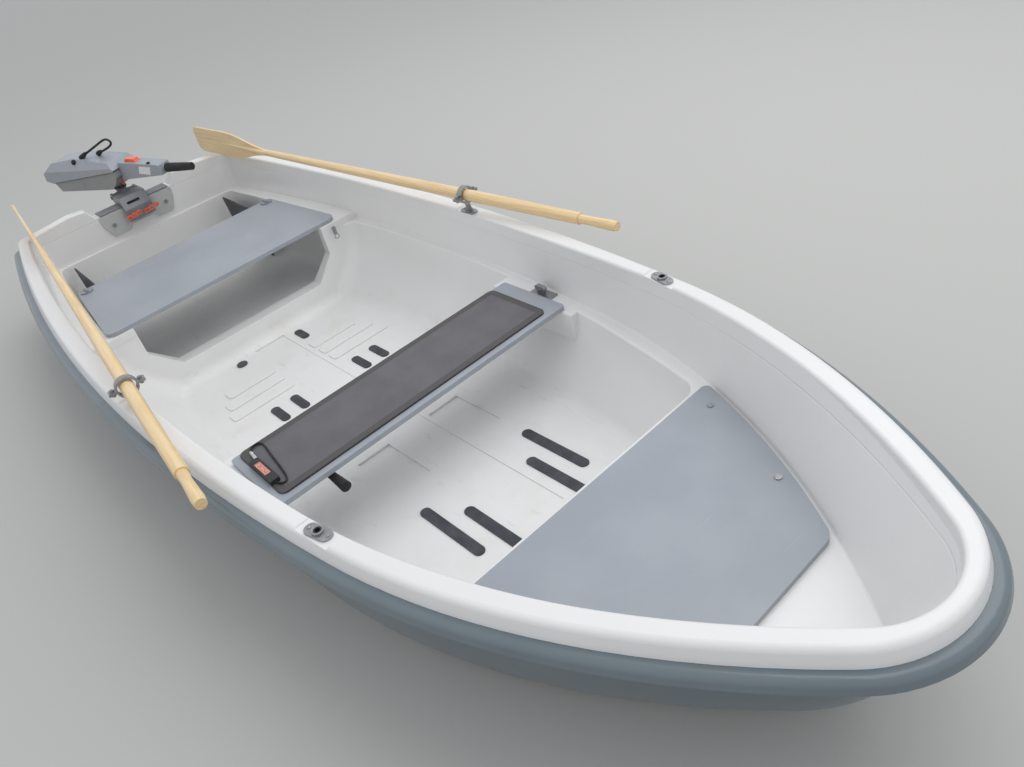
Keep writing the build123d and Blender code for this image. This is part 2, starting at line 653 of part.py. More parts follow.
with BuildPart() as motor_shaft:
    with BuildSketch(fore_aft.offset(POD_Z + 46)):
        Circle(17)
    extrude(amount=452 - POD_Z - 46)
    with BuildSketch(fore_aft.offset(434)):
        Circle(30)
    extrude(amount=6)
    with BuildSketch(fore_aft.offset(440)):
        Circle(22)
    extrude(amount=12)
motor_shaft.part.label = "motor_shaft"
export_step(motor_shaft.part, "parts/motor_shaft.step")

# Head: a wedge-shaped housing under a slanting seam, with the battery above it
SEAM = ((-336, 499), (92, 538))
with BuildPart() as motor_head:
    with BuildSketch(side_view):
        Polygon((-312, 453), SEAM[0], SEAM[1], (92, 508), (62, 472), (28, 452), align=None)
    extrude(amount=68, both=True)
motor_head.part.label = "motor_head"
export_step(motor_head.part, "parts/motor_head.step")

with BuildPart() as motor_battery:
    with BuildSketch(side_view):
        Polygon(SEAM[0], (-374, 512), (-368, 548), (-302, 592), (-150, 604), (75, 577), (100, 545), SEAM[1], align=None)
    extrude(amount=76, both=True)
    with BuildSketch(Plane(origin=fore_aft.from_local_coords((-400, 0, 0)), z_dir=fore_aft.x_dir, x_dir=fore_aft.y_dir)):
        Polygon((-76, 480), (-76, 556), (-46, 610), (46, 610), (76, 556), (76, 480), align=None)
    extrude(amount=520, mode=Mode.INTERSECT)
motor_battery.part.label = "motor_battery"
export_step(motor_battery.part, "parts/motor_battery.step")

with BuildPart() as motor_tiller:
    with BuildSketch(side_view):
        Polygon((72, 482), (345, 496), (345, 541), (330, 545), (102, 566), (102, 545), (94, 538), (94, 508), align=None)
    extrude(amount=33, both=True)
    with BuildSketch(Plane(origin=fore_aft.from_local_coords((340, 0, 518)), z_dir=fore_aft.x_dir)):
        Circle(18)
    extrude(amount=18)
motor_tiller.part.label = "motor_tiller"
export_step(motor_tiller.part, "parts/motor_tiller.step")

with BuildPart() as tiller_grip:
    with BuildSketch(Plane(origin=fore_aft.from_local_coords((358, 0, 518)), z_dir=fore_aft.x_dir)):
        Circle(21)
    extrude(amount=150, taper=1.5)
tiller_grip.part.label = "tiller_grip"
export_step(tiller_grip.part, "parts/tiller_grip.step")

with BuildPart() as tiller_lever:
    with BuildSketch(side_view):
        Polygon((128, 563.8), (196, 557.6), (188, 572), (140, 576), align=None)
    extrude(amount=16, both=True)
tiller_lever.part.label = "tiller_lever"
export_step(tiller_lever.part, "parts/tiller_lever.step")

# The battery's stiff lead stands up in a loop between two plugs
LOOP_ROUTE = [(-107, -33, 604), (-74, -27, 620), (-14, -15, 645), (52, -4, 669), (78, 2, 664), (66, 6, 648), (22, 8, 628),
              (-37, 8, 602)]
with BuildPart() as battery_lead:
    with BuildLine() as loop_path:
        FilletPolyline(*[fore_aft.from_local_coords(p) for p in LOOP_ROUTE], radius=[60, 60, 14, 10, 20, 60])
    with BuildSketch(Plane(origin=loop_path.line @ 0, z_dir=loop_path.line % 0)):
        Circle(5)
    sweep()
battery_lead.part.label = "battery_lead"
export_step(battery_lead.part, "parts/battery_lead.step")

with BuildPart() as motor_pod:
    with BuildSketch(side_view):
        with BuildLine():
            ThreePointArc((118, POD_Z), (98, POD_Z + 30), (40, POD_Z + 44))
            Line((40, POD_Z + 44), (-90, POD_Z + 43))
            Line((-90, POD_Z + 43), (-128, POD_Z + 34))
            Line((-128, POD_Z + 34), (-128, POD_Z))
            Line((-128, POD_Z), (118, POD_Z))
        make_face()
    revolve(axis=Axis(fore_aft.from_local_coords((0, 0, POD_Z)), fore_aft.x_dir))
    with BuildSketch(fore_aft.offset(POD_Z + 30)):
        Circle(19)
    extrude(amount=16)
    with BuildSketch(side_view):
        Polygon((20, POD_Z - 36), (-86, POD_Z - 36), (-92, POD_Z - 128), (-60, POD_Z - 128), align=None)
    extrude(amount=4, both=True)
motor_pod.part.label = "motor_pod"
export_step(motor_pod.part, "parts/motor_pod.step")

with BuildPart() as propeller:
    hub = Plane(origin=fore_aft.from_local_coords((-129, 0, POD_Z)), z_dir=-fore_aft.x_dir)
    with BuildSketch(hub):
        Circle(28)
    extrude(amount=44)
    with BuildSketch(hub.offset(44)):
        Circle(28)
    extrude(amount=22, taper=25)
    for k in range(3):
        blade = Plane(origin=hub.origin - 38 * fore_aft.x_dir, z_dir=hub.z_dir, x_dir=hub.x_dir).rotated((0, 0, 120 * k))
        leaf = Plane(origin=blade.origin + 20 * blade.x_dir, z_dir=blade.x_dir, x_dir=blade.y_dir).rotated((0, 0, 28))
        with BuildSketch(leaf):
            Ellipse(22, 3)
        with BuildSketch(leaf.offset(62)):
            Ellipse(28, 2.4)
        with BuildSketch(leaf.offset(100)):
            Ellipse(14, 1.6)
        loft()
propeller.part.label = "propeller"
export_step(propeller.part, "parts/propeller.step")
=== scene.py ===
import math
import bpy
import bmesh
from mathutils import Matrix, Vector
from mathutils.geometry import convex_hull_2d


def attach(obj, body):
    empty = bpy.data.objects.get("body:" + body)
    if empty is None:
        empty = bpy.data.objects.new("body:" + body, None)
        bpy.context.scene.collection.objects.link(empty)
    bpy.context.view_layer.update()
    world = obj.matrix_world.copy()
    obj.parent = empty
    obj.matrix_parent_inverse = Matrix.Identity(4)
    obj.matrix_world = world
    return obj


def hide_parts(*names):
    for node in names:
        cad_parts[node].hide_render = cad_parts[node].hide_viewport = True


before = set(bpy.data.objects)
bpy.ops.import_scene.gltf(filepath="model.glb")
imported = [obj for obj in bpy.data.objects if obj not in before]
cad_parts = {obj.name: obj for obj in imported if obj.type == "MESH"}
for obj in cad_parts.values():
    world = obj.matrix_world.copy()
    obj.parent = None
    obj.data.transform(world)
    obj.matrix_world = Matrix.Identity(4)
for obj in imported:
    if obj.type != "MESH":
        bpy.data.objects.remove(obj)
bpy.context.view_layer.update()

# The view: the camera stands beside the starboard bow and looks down and aft into the boat.
# It is held a little aslant and its lens is that of a phone.
EYE = Vector((2.142, -0.869, 1.580))
HEADING = math.radians(146.2)
DIP = math.radians(36.2)
ROLL = math.radians(14.71)
PICTURE_WIDTH = 1024
FOCAL_LENGTH = 800
SENSOR_WIDTH = 36
look = Vector((math.cos(HEADING), math.sin(HEADING), -math.tan(DIP))).normalized()
level = look.cross(Vector((0, 0, 1))).normalized()
down = look.cross(level)
right = math.cos(ROLL) * level + math.sin(ROLL) * down
below = -math.sin(ROLL) * level + math.cos(ROLL) * down
camera = bpy.data.objects.new("camera", bpy.data.cameras.new("camera"))
camera.data.sensor_width = SENSOR_WIDTH
camera.data.lens = SENSOR_WIDTH * FOCAL_LENGTH / PICTURE_WIDTH
camera.matrix_world = Matrix((right, -below, -look)).transposed().to_4x4()
camera.location = EYE
bpy.context.scene.collection.objects.link(camera)
bpy.context.scene.camera = camera

# The floor is a plain pale sheet at the waterline, under a plain pale sky and one soft lamp.
# The hull sits down through the sheet, which is cut out along the hull's waterline.
CUT_SHARE = 0.995
FLOOR_REACH = 80
FLOOR_TONE = (0.50, 0.50, 0.475, 1)
FLOOR_ROUGHNESS = 0.9
SKY_TONE = (0.93, 0.95, 1.0, 1)
SKY_STRENGTH = 0.82
LAMP_PLACE = Vector((0.5, 2.5, 5.0))
LAMP_AIM = Vector((0, 0, 0.2))
LAMP_WIDTH = 5.0
LAMP_POWER = 125
cut = bmesh.new()
cut.from_mesh(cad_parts["hull_shell"].data)
bmesh.ops.bisect_plane(cut, geom=cut.verts[:] + cut.edges[:] + cut.faces[:],
                       plane_co=(0, 0, 0), plane_no=(0, 0, 1), clear_inner=True, clear_outer=True)
afloat = [vert.co.xy for vert in cut.verts]
waterline = [afloat[k] * CUT_SHARE for k in convex_hull_2d(afloat)]
cut.free()
sheet = bmesh.new()
near = [sheet.verts.new((*point, 0)) for point in waterline]
far = [sheet.verts.new((*point.normalized() * FLOOR_REACH, 0)) for point in waterline]
for k in range(len(waterline)):
    sheet.faces.new((near[k - 1], far[k - 1], far[k], near[k]))
floor = bpy.data.objects.new("floor", bpy.data.meshes.new("floor"))
sheet.to_mesh(floor.data)
sheet.free()
bpy.context.scene.collection.objects.link(floor)
floor_paint = bpy.data.materials.new("floor_paint")
floor_paint.use_nodes = True
floor_shader = floor_paint.node_tree.nodes["Principled BSDF"]
floor_shader.inputs["Base Color"].default_value = FLOOR_TONE
floor_shader.inputs["Roughness"].default_value = FLOOR_ROUGHNESS
floor.data.materials.append(floor_paint)
sky = bpy.data.worlds.new("sky")
sky.use_nodes = True
sky.node_tree.nodes["Background"].inputs["Color"].default_value = SKY_TONE
sky.node_tree.nodes["Background"].inputs["Strength"].default_value = SKY_STRENGTH
bpy.context.scene.world = sky
bpy.context.scene.view_settings.view_transform = "Standard"
light = bpy.data.lights.new("high_cloud", "AREA")
light.size = LAMP_WIDTH
light.energy = LAMP_POWER
lamp = bpy.data.objects.new("high_cloud", light)
lamp.location = LAMP_PLACE
lamp.rotation_euler = (LAMP_AIM - LAMP_PLACE).to_track_quat("-Z", "Y").to_euler()
bpy.context.scene.collection.objects.link(lamp)

# The hull is a grey moulding with a flange all round its top and a keel, in glossy plastic.
# Its skin is smooth and a little cloudy from the mould, and it is painted darker and greener in patches
# towards the waterline.


class Value:
    """A number or vector that changes over a surface; arithmetic on it adds the Math nodes."""

    def __init__(self, paint, socket):
        self.paint = paint
        self.socket = socket

    def math(self, operation, *others):
        return self.paint.add("ShaderNodeMath", {"operation": operation}, dict(enumerate((self, *others))))

    def __add__(self, other):
        return self.math("ADD", other)

    def __sub__(self, other):
        return self.math("SUBTRACT", other)

    def __rsub__(self, other):
        return self.math("MULTIPLY", -1) + other

    def __mul__(self, other):
        return self.math("MULTIPLY", other)

    def __truediv__(self, other):
        return self.math("DIVIDE", other)

    def __pow__(self, other):
        return self.math("POWER", other)

    def __abs__(self):
        return self.math("ABSOLUTE")

    __radd__ = __add__
    __rmul__ = __mul__

    def output(self, name):
        return Value(self.paint, self.socket.node.outputs[name])

    def ramp(self, low, high):
        """0 below low, 1 above high, smooth between; high may be the lower one."""
        if low > high:
            return 1 - self.ramp(high, low)
        return self.paint.add("ShaderNodeMapRange", {"interpolation_type": "SMOOTHSTEP"},
                              {"Value": self, "From Min": low, "From Max": high})


class Paint:
    """A material of one Principled shader, whose textures lie in the object's own metres."""

    def __init__(self, name, **fixed):
        self.material = bpy.data.materials.new(name)
        self.material.use_nodes = True
        self.tree = self.material.node_tree
        self.shader = self.tree.nodes["Principled BSDF"]
        for socket, value in fixed.items():
            self.shader.inputs[socket.replace("_", " ")].default_value = value
        self.place = self.add("ShaderNodeTexCoord", {}, {}).output("Object")
        split = self.add("ShaderNodeSeparateXYZ", {}, {0: self.place})
        self.x, self.y, self.z = (split.output(axis) for axis in "XYZ")

    def link(self, socket, value):
        if isinstance(value, Value):
            self.tree.links.new(value.socket, socket)
        else:
            socket.default_value = value

    def add(self, kind, settings, inputs):
        """Adds a node with its settings and the values or links of its sockets."""
        node = self.tree.nodes.new(kind)
        for key, value in settings.items():
            setattr(node, key, value)
        for key, value in inputs.items():
            self.link(node.inputs[key], value)
        return Value(self, node.outputs[0])

    def noise(self, scale, detail, stretch=(1, 1, 1)):
        """Soft noise with so many waves to the metre, and more along an axis whose stretch is over 1."""
        place = self.add("ShaderNodeVectorMath", {"operation": "MULTIPLY"}, {0: self.place, 1: stretch})
        return self.add("ShaderNodeTexNoise", {}, {"Vector": place, "Scale": scale, "Detail": detail})

    def cells(self, scale):
        """The distance from the middle of the nearest of the cells, so many to the metre."""
        return self.add("ShaderNodeTexVoronoi", {}, {"Vector": self.place, "Scale": scale})

    def blend(self, mask, low, high):
        """The colour low where mask is 0 and high where it is 1."""
        mix = self.add("ShaderNodeMix", {"data_type": "RGBA"}, {0: mask, 6: low, 7: high})
        return Value(self, mix.socket.node.outputs[2])

    def finish(self, colour, rough, height, metal=None):
        """Joins what changes over the surface to the shader; height is in metres."""
        bump = self.add("ShaderNodeBump", {}, {"Height": height, "Distance": 1.0, "Strength": 1.0})
        joined = {"Base Color": colour, "Roughness": rough, "Normal": bump}
        if metal is not None:
            joined["Metallic"] = metal
        for socket, value in joined.items():
            self.link(self.shader.inputs[socket], value)

    def dress(self, *nodes):
        """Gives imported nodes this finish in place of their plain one."""
        for name in nodes:
            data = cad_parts[name].data
            data.materials.clear()
            data.materials.append(self.material)


HULL_DARK = (0.130, 0.165, 0.185, 1)
HULL_LIGHT = (0.155, 0.192, 0.212, 1)
HULL_LOW_TONE = (0.115, 0.125, 0.105, 1)
DARKENING_TOP = 0.050
DARKENING_FULL = 0.012
hull = Paint("hull_gelcoat", Coat_Weight=0.35, Coat_Roughness=0.12, IOR=1.48)
# Darker, greener patches are painted low on the hull. They are strongest near the waterline, and the skin is
# a little rougher there.
waterline_darkening = hull.z.ramp(DARKENING_TOP, DARKENING_FULL) * hull.noise(9, 5).ramp(0.30, 0.62)
streaks = hull.noise(3.0, 4, (1, 1, 0.25)).ramp(0.35, 0.75)
hull.finish(colour=hull.blend(waterline_darkening * 0.55, hull.blend(streaks, HULL_DARK, HULL_LIGHT), HULL_LOW_TONE),
            rough=hull.noise(14, 2) * 0.10 + 0.26 + waterline_darkening * 0.2,
            height=hull.noise(6, 2) * 0.0008 + hull.noise(420, 1) * 0.00001)
hull.dress("hull_shell")

# The liner is one white moulding from the rim down to the floor, bonded to the hull.
# Its skin is satin, with faint ripples and a line from the mould, and its floor has a grip texture,
# dust and grey scuffs.
SHEER_X = -0.540
SHEER_Z = 0.396
SHEER_RADIUS = 36.0
MOULD_LINE_DROP = 0.052
MOULD_LINE_WIDTH = 0.0035
UPPER_WALL = (0.26, 0.30)
FLOOR_LEVEL = (0.010, -0.035)
LINER_SHADE = (0.765, 0.762, 0.745, 1)
LINER_WHITE = (0.80, 0.798, 0.785, 1)
LINER_DUST = (0.68, 0.66, 0.60, 1)
LINER_SCUFF = (0.42, 0.42, 0.42, 1)
white = Paint("liner_gelcoat", Coat_Weight=0.18, Coat_Roughness=0.25, IOR=1.48)
sheer = (white.x - SHEER_X) ** 2 / (2 * SHEER_RADIUS) + SHEER_Z
tread = white.z.ramp(*FLOOR_LEVEL)
scuff = white.noise(34, 6, (0.35, 1, 1)).ramp(0.60, 0.78) * tread
dust = white.noise(7, 6).ramp(0.52, 0.75) * tread
skin = white.blend(white.noise(2.2, 3).ramp(0.3, 0.7), LINER_SHADE, LINER_WHITE)
skin = white.blend(dust * 0.30, skin, LINER_DUST)
mould_line = abs(sheer - MOULD_LINE_DROP - white.z).ramp(MOULD_LINE_WIDTH, 0.0) * white.z.ramp(*UPPER_WALL)
ripple = white.noise(16, 2) * 0.0006
grip = white.noise(260, 2) * 0.00005 * (1 + tread * 3)
white.finish(colour=white.blend(scuff * 0.22, skin, LINER_SCUFF),
             rough=white.noise(60, 3) * 0.16 + 0.26 + tread * 0.16 + scuff * 0.15,
             height=ripple + grip - mould_line * 0.0008)
white.dress("liner")

# The seats are boards of blue-grey laminate with a fine matt face and rubbed, rounded edges.
# They are laid on the liner's ledge and held by latches, knobs and screws.
BOARD_DARK = (0.305, 0.330, 0.365, 1)
BOARD_LIGHT = (0.340, 0.365, 0.400, 1)
BOARD_SPECK = (0.46, 0.50, 0.54, 1)
BOARD_SCRATCH = (0.50, 0.53, 0.56, 1)
board = Paint("board_laminate", Specular_IOR_Level=0.5, Coat_Weight=0.12, Coat_Roughness=0.35)
speck = board.noise(520, 2).ramp(0.56, 0.70)
scratch = board.noise(90, 3, (1, 0.05, 1)).ramp(0.66, 0.74)
face = board.blend(board.noise(5, 4).ramp(0.3, 0.7), BOARD_DARK, BOARD_LIGHT)
face = board.blend(speck * 0.20, face, BOARD_SPECK)
board.finish(colour=board.blend(scratch * 0.10, face, BOARD_SCRATCH),
             rough=board.noise(30, 4) * 0.12 + 0.36 + speck * 0.05,
             height=board.noise(640, 2) * 0.00005 + board.noise(4, 1) * 0.0006)
board.dress("thwart", "stern_seat", "bow_seat")

# The charging panel on the thwart is a row of dark cells under a pebbled plastic film.
# It is glued to the board, with a bare border round the cells and a black sealed hem.
PANEL_MIDDLE = (0.290, -0.018)
PANEL_HALF = (0.135, 0.497)
BORDER_EDGE = (0.0255, 0.0245)
HEM_EDGE = (0.0035, 0.0025)
CELL_LENGTH = 0.078
CELL_DARK = (0.098, 0.094, 0.104, 1)
CELL_LIGHT = (0.122, 0.118, 0.128, 1)
BORDER_TONE = (0.060, 0.054, 0.052, 1)
HEM_TONE = (0.018, 0.017, 0.017, 1)
PEBBLE_TONE = (0.15, 0.148, 0.155, 1)
panel = Paint("panel_film", Specular_IOR_Level=0.45, Coat_Weight=0.08, Coat_Roughness=0.5)
pebble = panel.cells(520).ramp(0.0, 0.9)
from_end = PANEL_HALF[1] - abs(panel.y - PANEL_MIDDLE[1])
from_edge = (PANEL_HALF[0] - abs(panel.x - PANEL_MIDDLE[0])).math("MINIMUM", from_end)
border = from_edge.ramp(*BORDER_EDGE)
seam = abs((panel.y / CELL_LENGTH).math("FRACT") - 0.5).ramp(0.485, 0.5) * (1 - border)
tone = panel.blend(panel.noise(12, 4).ramp(0.3, 0.7), CELL_DARK, CELL_LIGHT)
tone = panel.blend(border, tone, BORDER_TONE)
tone = panel.blend(from_edge.ramp(*HEM_EDGE), tone, HEM_TONE)
panel.finish(colour=panel.blend(pebble * 0.25, tone, PEBBLE_TONE),
             rough=panel.noise(50, 3) * 0.15 + 0.42 + pebble * 0.1,
             height=pebble * 0.00010 - seam * 0.0001 - border * 0.0003)
panel.dress("thwart_panel")

# The panel's flat box and the bushes in the oarlock sockets are moulded in matt black plastic.
# The box is glued to the panel, and the bushes are pressed into their sockets.
MOULDING_DARK = (0.018, 0.018, 0.019, 1)
MOULDING_LIGHT = (0.034, 0.034, 0.036, 1)
moulding = Paint("black_moulding", Specular_IOR_Level=0.4)
moulding.finish(colour=moulding.blend(moulding.noise(24, 4).ramp(0.3, 0.7), MOULDING_DARK, MOULDING_LIGHT),
                rough=moulding.noise(90, 3) * 0.2 + 0.40,
                height=moulding.noise(700, 2) * 0.00008)
moulding.dress("panel_box", "socket_bushes")

# The lead's coupling is a turned sleeve with a groove round it, plated bright, that joins the lead to
# the box. A clear reddish window of plastic, stuck on the box's top, shows its lamp.


def settle(shape, name, material, body, bevel):
    """Makes a piece of a finished mesh, with its edges broken, and lets it ride on a body."""
    bmesh.ops.recalc_face_normals(shape, faces=shape.faces)
    piece = bpy.data.objects.new(name, bpy.data.meshes.new(name))
    shape.to_mesh(piece.data)
    shape.free()
    piece.data.materials.append(material)
    bpy.context.scene.collection.objects.link(piece)
    edge = piece.modifiers.new("edge", "BEVEL")
    edge.width = bevel
    edge.segments = 2
    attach(piece, body)


def slab(shape, corners, depth):
    """Adds a flat piece with the given corners, as thick as depth."""
    near = [shape.verts.new(corner) for corner in corners]
    far = [shape.verts.new(Vector(corner) + depth) for corner in corners]
    shape.faces.new(near)
    shape.faces.new(far[::-1])
    for k in range(len(near)):
        shape.faces.new((near[k - 1], far[k - 1], far[k], near[k]))


def turn(shape, start, end, profile, sides=32):
    """Adds a round piece on the line from start to end; profile is (share of the length, radius)."""
    axis = end - start
    square = axis.to_track_quat("Z", "Y").to_matrix()
    spokes = [2 * math.pi * k / sides for k in range(sides)]
    rings = []
    for share, radius in profile:
        ring = [Vector((radius * math.cos(spoke), radius * math.sin(spoke), 0)) for spoke in spokes]
        rings.append([shape.verts.new(start + axis * share + square @ point) for point in ring])
    shape.faces.new(rings[0][::-1])
    shape.faces.new(rings[-1])
    for low, high in zip(rings, rings[1:]):
        for k in range(sides):
            shape.faces.new((low[k - 1], low[k], high[k], high[k - 1])).smooth = True


COUPLING_START = Vector((0.187, -0.4858, 0.2343))
COUPLING_END = Vector((0.2385, -0.491, 0.2365))
COUPLING = [(0, 0.0042), (0.06, 0.0058), (0.30, 0.0058), (0.32, 0.0050),
            (0.40, 0.0050), (0.42, 0.0062), (0.94, 0.0062), (1, 0.0050)]
PLATING_DARK = (0.62, 0.62, 0.63, 1)
PLATING_LIGHT = (0.78, 0.78, 0.79, 1)
plating = Paint("coupling_plating", Metallic=1.0)
plating.finish(colour=plating.blend(plating.noise(300, 3), PLATING_DARK, PLATING_LIGHT),
               rough=plating.noise(500, 3) * 0.15 + 0.14,
               height=plating.noise(900, 2) * 0.00003)
coupling = bmesh.new()
turn(coupling, COUPLING_START, COUPLING_END, COUPLING)
settle(coupling, "lead_coupling", plating.material, "hull", bevel=0.0003)

BOX_TOP = 0.243
WINDOW = [(0.262, -0.510), (0.330, -0.510), (0.330, -0.492), (0.262, -0.492)]
WINDOW_DEPTH = 0.0012
LENS_DARK = (0.52, 0.15, 0.10, 1)
LENS_LIGHT = (0.72, 0.34, 0.26, 1)
lens = Paint("lamp_window", Coat_Weight=0.6, Coat_Roughness=0.08)
lens.finish(colour=lens.blend(lens.noise(160, 4).ramp(0.35, 0.65), LENS_DARK, LENS_LIGHT),
            rough=lens.noise(200, 2) * 0.1 + 0.12,
            height=lens.noise(320, 2) * 0.0001)
window = bmesh.new()
slab(window, [(x, y, BOX_TOP) for x, y in WINDOW], Vector((0, 0, WINDOW_DEPTH)))
settle(window, "box_window", lens.material, "hull", bevel=0.0005)

# The panel's lead, the grip under the thwart and the tiller's grip are of dull black rubber.
# The lead lies in a loop on the panel, from the box's end round to the coupling, and the grips are
# pushed on to their bars.
RUBBER_DARK = (0.014, 0.014, 0.015, 1)
RUBBER_LIGHT = (0.035, 0.034, 0.034, 1)
rubber = Paint("black_rubber", Specular_IOR_Level=0.35)
rubber.finish(colour=rubber.blend(rubber.noise(30, 5).ramp(0.35, 0.7), RUBBER_DARK, RUBBER_LIGHT),
              rough=rubber.noise(60, 3) * 0.2 + 0.55,
              height=rubber.noise(500, 2) * 0.00012)
rubber.dress("release_grip", "tiller_grip")


def cable(name, points, thickness, body, solid, **facts):
    """Lays a rubber cable along one smooth spline, in the place of its solid."""
    line = bpy.data.curves.new(name, "CURVE")
    line.dimensions = "3D"
    line.bevel_depth = thickness / 2
    line.bevel_resolution = 4
    line.use_fill_caps = True
    line.materials.append(rubber.material)
    spline = line.splines.new("NURBS")
    spline.points.add(len(points) - 1)
    for control, point in zip(spline.points, points):
        control.co = (*point, 1)
    spline.order_u = 3
    spline.use_endpoint_u = True
    piece = bpy.data.objects.new(name, line)
    bpy.context.scene.collection.objects.link(piece)
    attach(piece, body)
    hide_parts(solid)


LEAD_HEIGHT = 0.2333
LEAD_THICKNESS = 0.006
LEAD_PATH = [(0.3683, -0.500), (0.386, -0.496), (0.392, -0.474), (0.330, -0.462), (0.240, -0.452),
             (0.180, -0.442), (0.163, -0.456), (0.170, -0.484), (0.196, -0.486)]
cable("panel_cable", [(x, y, LEAD_HEIGHT) for x, y in LEAD_PATH], LEAD_THICKNESS, "hull", "panel_lead",
      length=0.313, stiffness="medium", lay="loose")

# The fittings are of zinc-plated steel: latches, screws, clip, sockets, oarlocks, bolts and bow eye.
# The plating is dull grey with a faint crystal pattern, and stained where water stands.
ZINC_DARK = (0.33, 0.335, 0.34, 1)
ZINC_LIGHT = (0.47, 0.475, 0.48, 1)
ZINC_STAIN = (0.20, 0.195, 0.18, 1)
zinc = Paint("zinc_plate", Anisotropic=0.2)
spangle = zinc.add("ShaderNodeSeparateColor", {}, {0: zinc.cells(160).output("Color")})
tarnish = zinc.noise(70, 5).ramp(0.45, 0.72)
zinc.finish(colour=zinc.blend(tarnish * 0.5, zinc.blend(spangle * 0.5, ZINC_DARK, ZINC_LIGHT), ZINC_STAIN),
            rough=0.30 + spangle * 0.12 + tarnish * 0.2,
            height=zinc.noise(300, 3) * 0.00010,
            metal=0.95 - tarnish * 0.35)
zinc.dress("thwart_latches", "seat_screws", "seat_clip", "oarlock_sockets", "oarlock_port",
           "oarlock_starboard", "pad_bolts", "bow_eye", "clamp_screws")

# Two domed screws of the same plated steel hold each oarlock socket down to the rim.
# They stand ahead of and behind the bush, in line with the rim.
SOCKETS = [  # x, y on the port side, degrees that the rim turns inboard there
    (-0.098, 0.642, 0),
    (0.842, 0.571, 14),
]
SCREW_REACH = 0.029
HEAD_HEIGHT = 0.0028
DOME = [(0, 0.0052), (0.35, 0.0052), (0.75, 0.0042), (1, 0.0022)]
heads = bmesh.new()
for x, y, degrees in SOCKETS:
    plate_top = SHEER_Z + (x - SHEER_X) ** 2 / (2 * SHEER_RADIUS)
    for side in (-1, 1):
        slant = math.radians(-side * degrees)
        for reach in (-SCREW_REACH, SCREW_REACH):
            foot = Vector((x + reach * math.cos(slant), side * y + reach * math.sin(slant), plate_top))
            turn(heads, foot, foot + Vector((0, 0, HEAD_HEIGHT)), DOME, sides=20)
settle(heads, "socket_screws", zinc.material, "hull", bevel=0.0002)

# The stern seat's two knobs are moulded in grey plastic.
# A quarter turn of each locks the seat to the ledge.
KNOB_DARK = (0.23, 0.255, 0.275, 1)
KNOB_LIGHT = (0.30, 0.325, 0.345, 1)
knob = Paint("knob_moulding", Specular_IOR_Level=0.45)
knob.finish(colour=knob.blend(knob.noise(60, 4).ramp(0.3, 0.7), KNOB_DARK, KNOB_LIGHT),
            rough=knob.noise(120, 3) * 0.2 + 0.38,
            height=knob.noise(600, 2) * 0.00008)
knob.dress("seat_knobs")

# The partition plates in the stern locker are of thin dark plastic sheet with a pebbled face.
# They are cut to the locker's slope and stand under the seat's aft corners.
PLATE_DARK = (0.050, 0.050, 0.053, 1)
PLATE_LIGHT = (0.085, 0.085, 0.088, 1)
plate = Paint("partition_sheet", Specular_IOR_Level=0.35)
plate.finish(colour=plate.blend(plate.noise(14, 5).ramp(0.3, 0.7), PLATE_DARK, PLATE_LIGHT),
             rough=plate.noise(50, 4) * 0.2 + 0.45,
             height=plate.cells(420) * 0.0001)
plate.dress("locker_partitions")

# The floor pads are strips of dark foam rubber, glued to the floor, with ribs along them for grip.
# The drain plugs beside them are of the same dark rubber.
RIB_PITCH = 0.0042
PAD_DARK = (0.055, 0.058, 0.066, 1)
PAD_WORN = (0.085, 0.088, 0.098, 1)
pad = Paint("pad_foam", Specular_IOR_Level=0.3)
rib = (pad.y * (2 * math.pi / RIB_PITCH)).math("SINE") * 0.5 + 0.5
pad.finish(colour=pad.blend(pad.noise(22, 5).ramp(0.35, 0.7), PAD_DARK, PAD_WORN),
           rough=pad.noise(80, 3) * 0.15 + 0.55,
           height=rib * 0.0006 + pad.noise(800, 2) * 0.0001)
pad.dress("floor_pads", "drain_plugs")

# The transom pad is a pale plastic plate bolted inside the notch, so the outboard's clamp does no harm.
# Use has marked its face, and a strip of grey rubber covers the notch's top.
SHEET_DARK = (0.46, 0.47, 0.46, 1)
SHEET_LIGHT = (0.52, 0.53, 0.52, 1)
SHEET_MARK = (0.34, 0.34, 0.33, 1)
STRIP_DARK = (0.17, 0.175, 0.185, 1)
STRIP_LIGHT = (0.24, 0.245, 0.255, 1)
pale = Paint("pad_sheet", Specular_IOR_Level=0.5)
bite = pale.noise(44, 5, (1, 1, 1.6)).ramp(0.56, 0.74)
pale.finish(colour=pale.blend(bite * 0.35, pale.blend(pale.noise(8, 3), SHEET_DARK, SHEET_LIGHT), SHEET_MARK),
            rough=pale.noise(60, 3) * 0.15 + 0.38,
            height=pale.noise(300, 2) * 0.00010 - bite * 0.0002)
pale.dress("transom_pad")
strip = Paint("notch_strip", Specular_IOR_Level=0.35)
strip.finish(colour=strip.blend(strip.noise(50, 4).ramp(0.3, 0.7), STRIP_DARK, STRIP_LIGHT),
             rough=strip.noise(90, 3) * 0.2 + 0.5,
             height=strip.noise(400, 2) * 0.0001)
strip.dress("transom_trim")

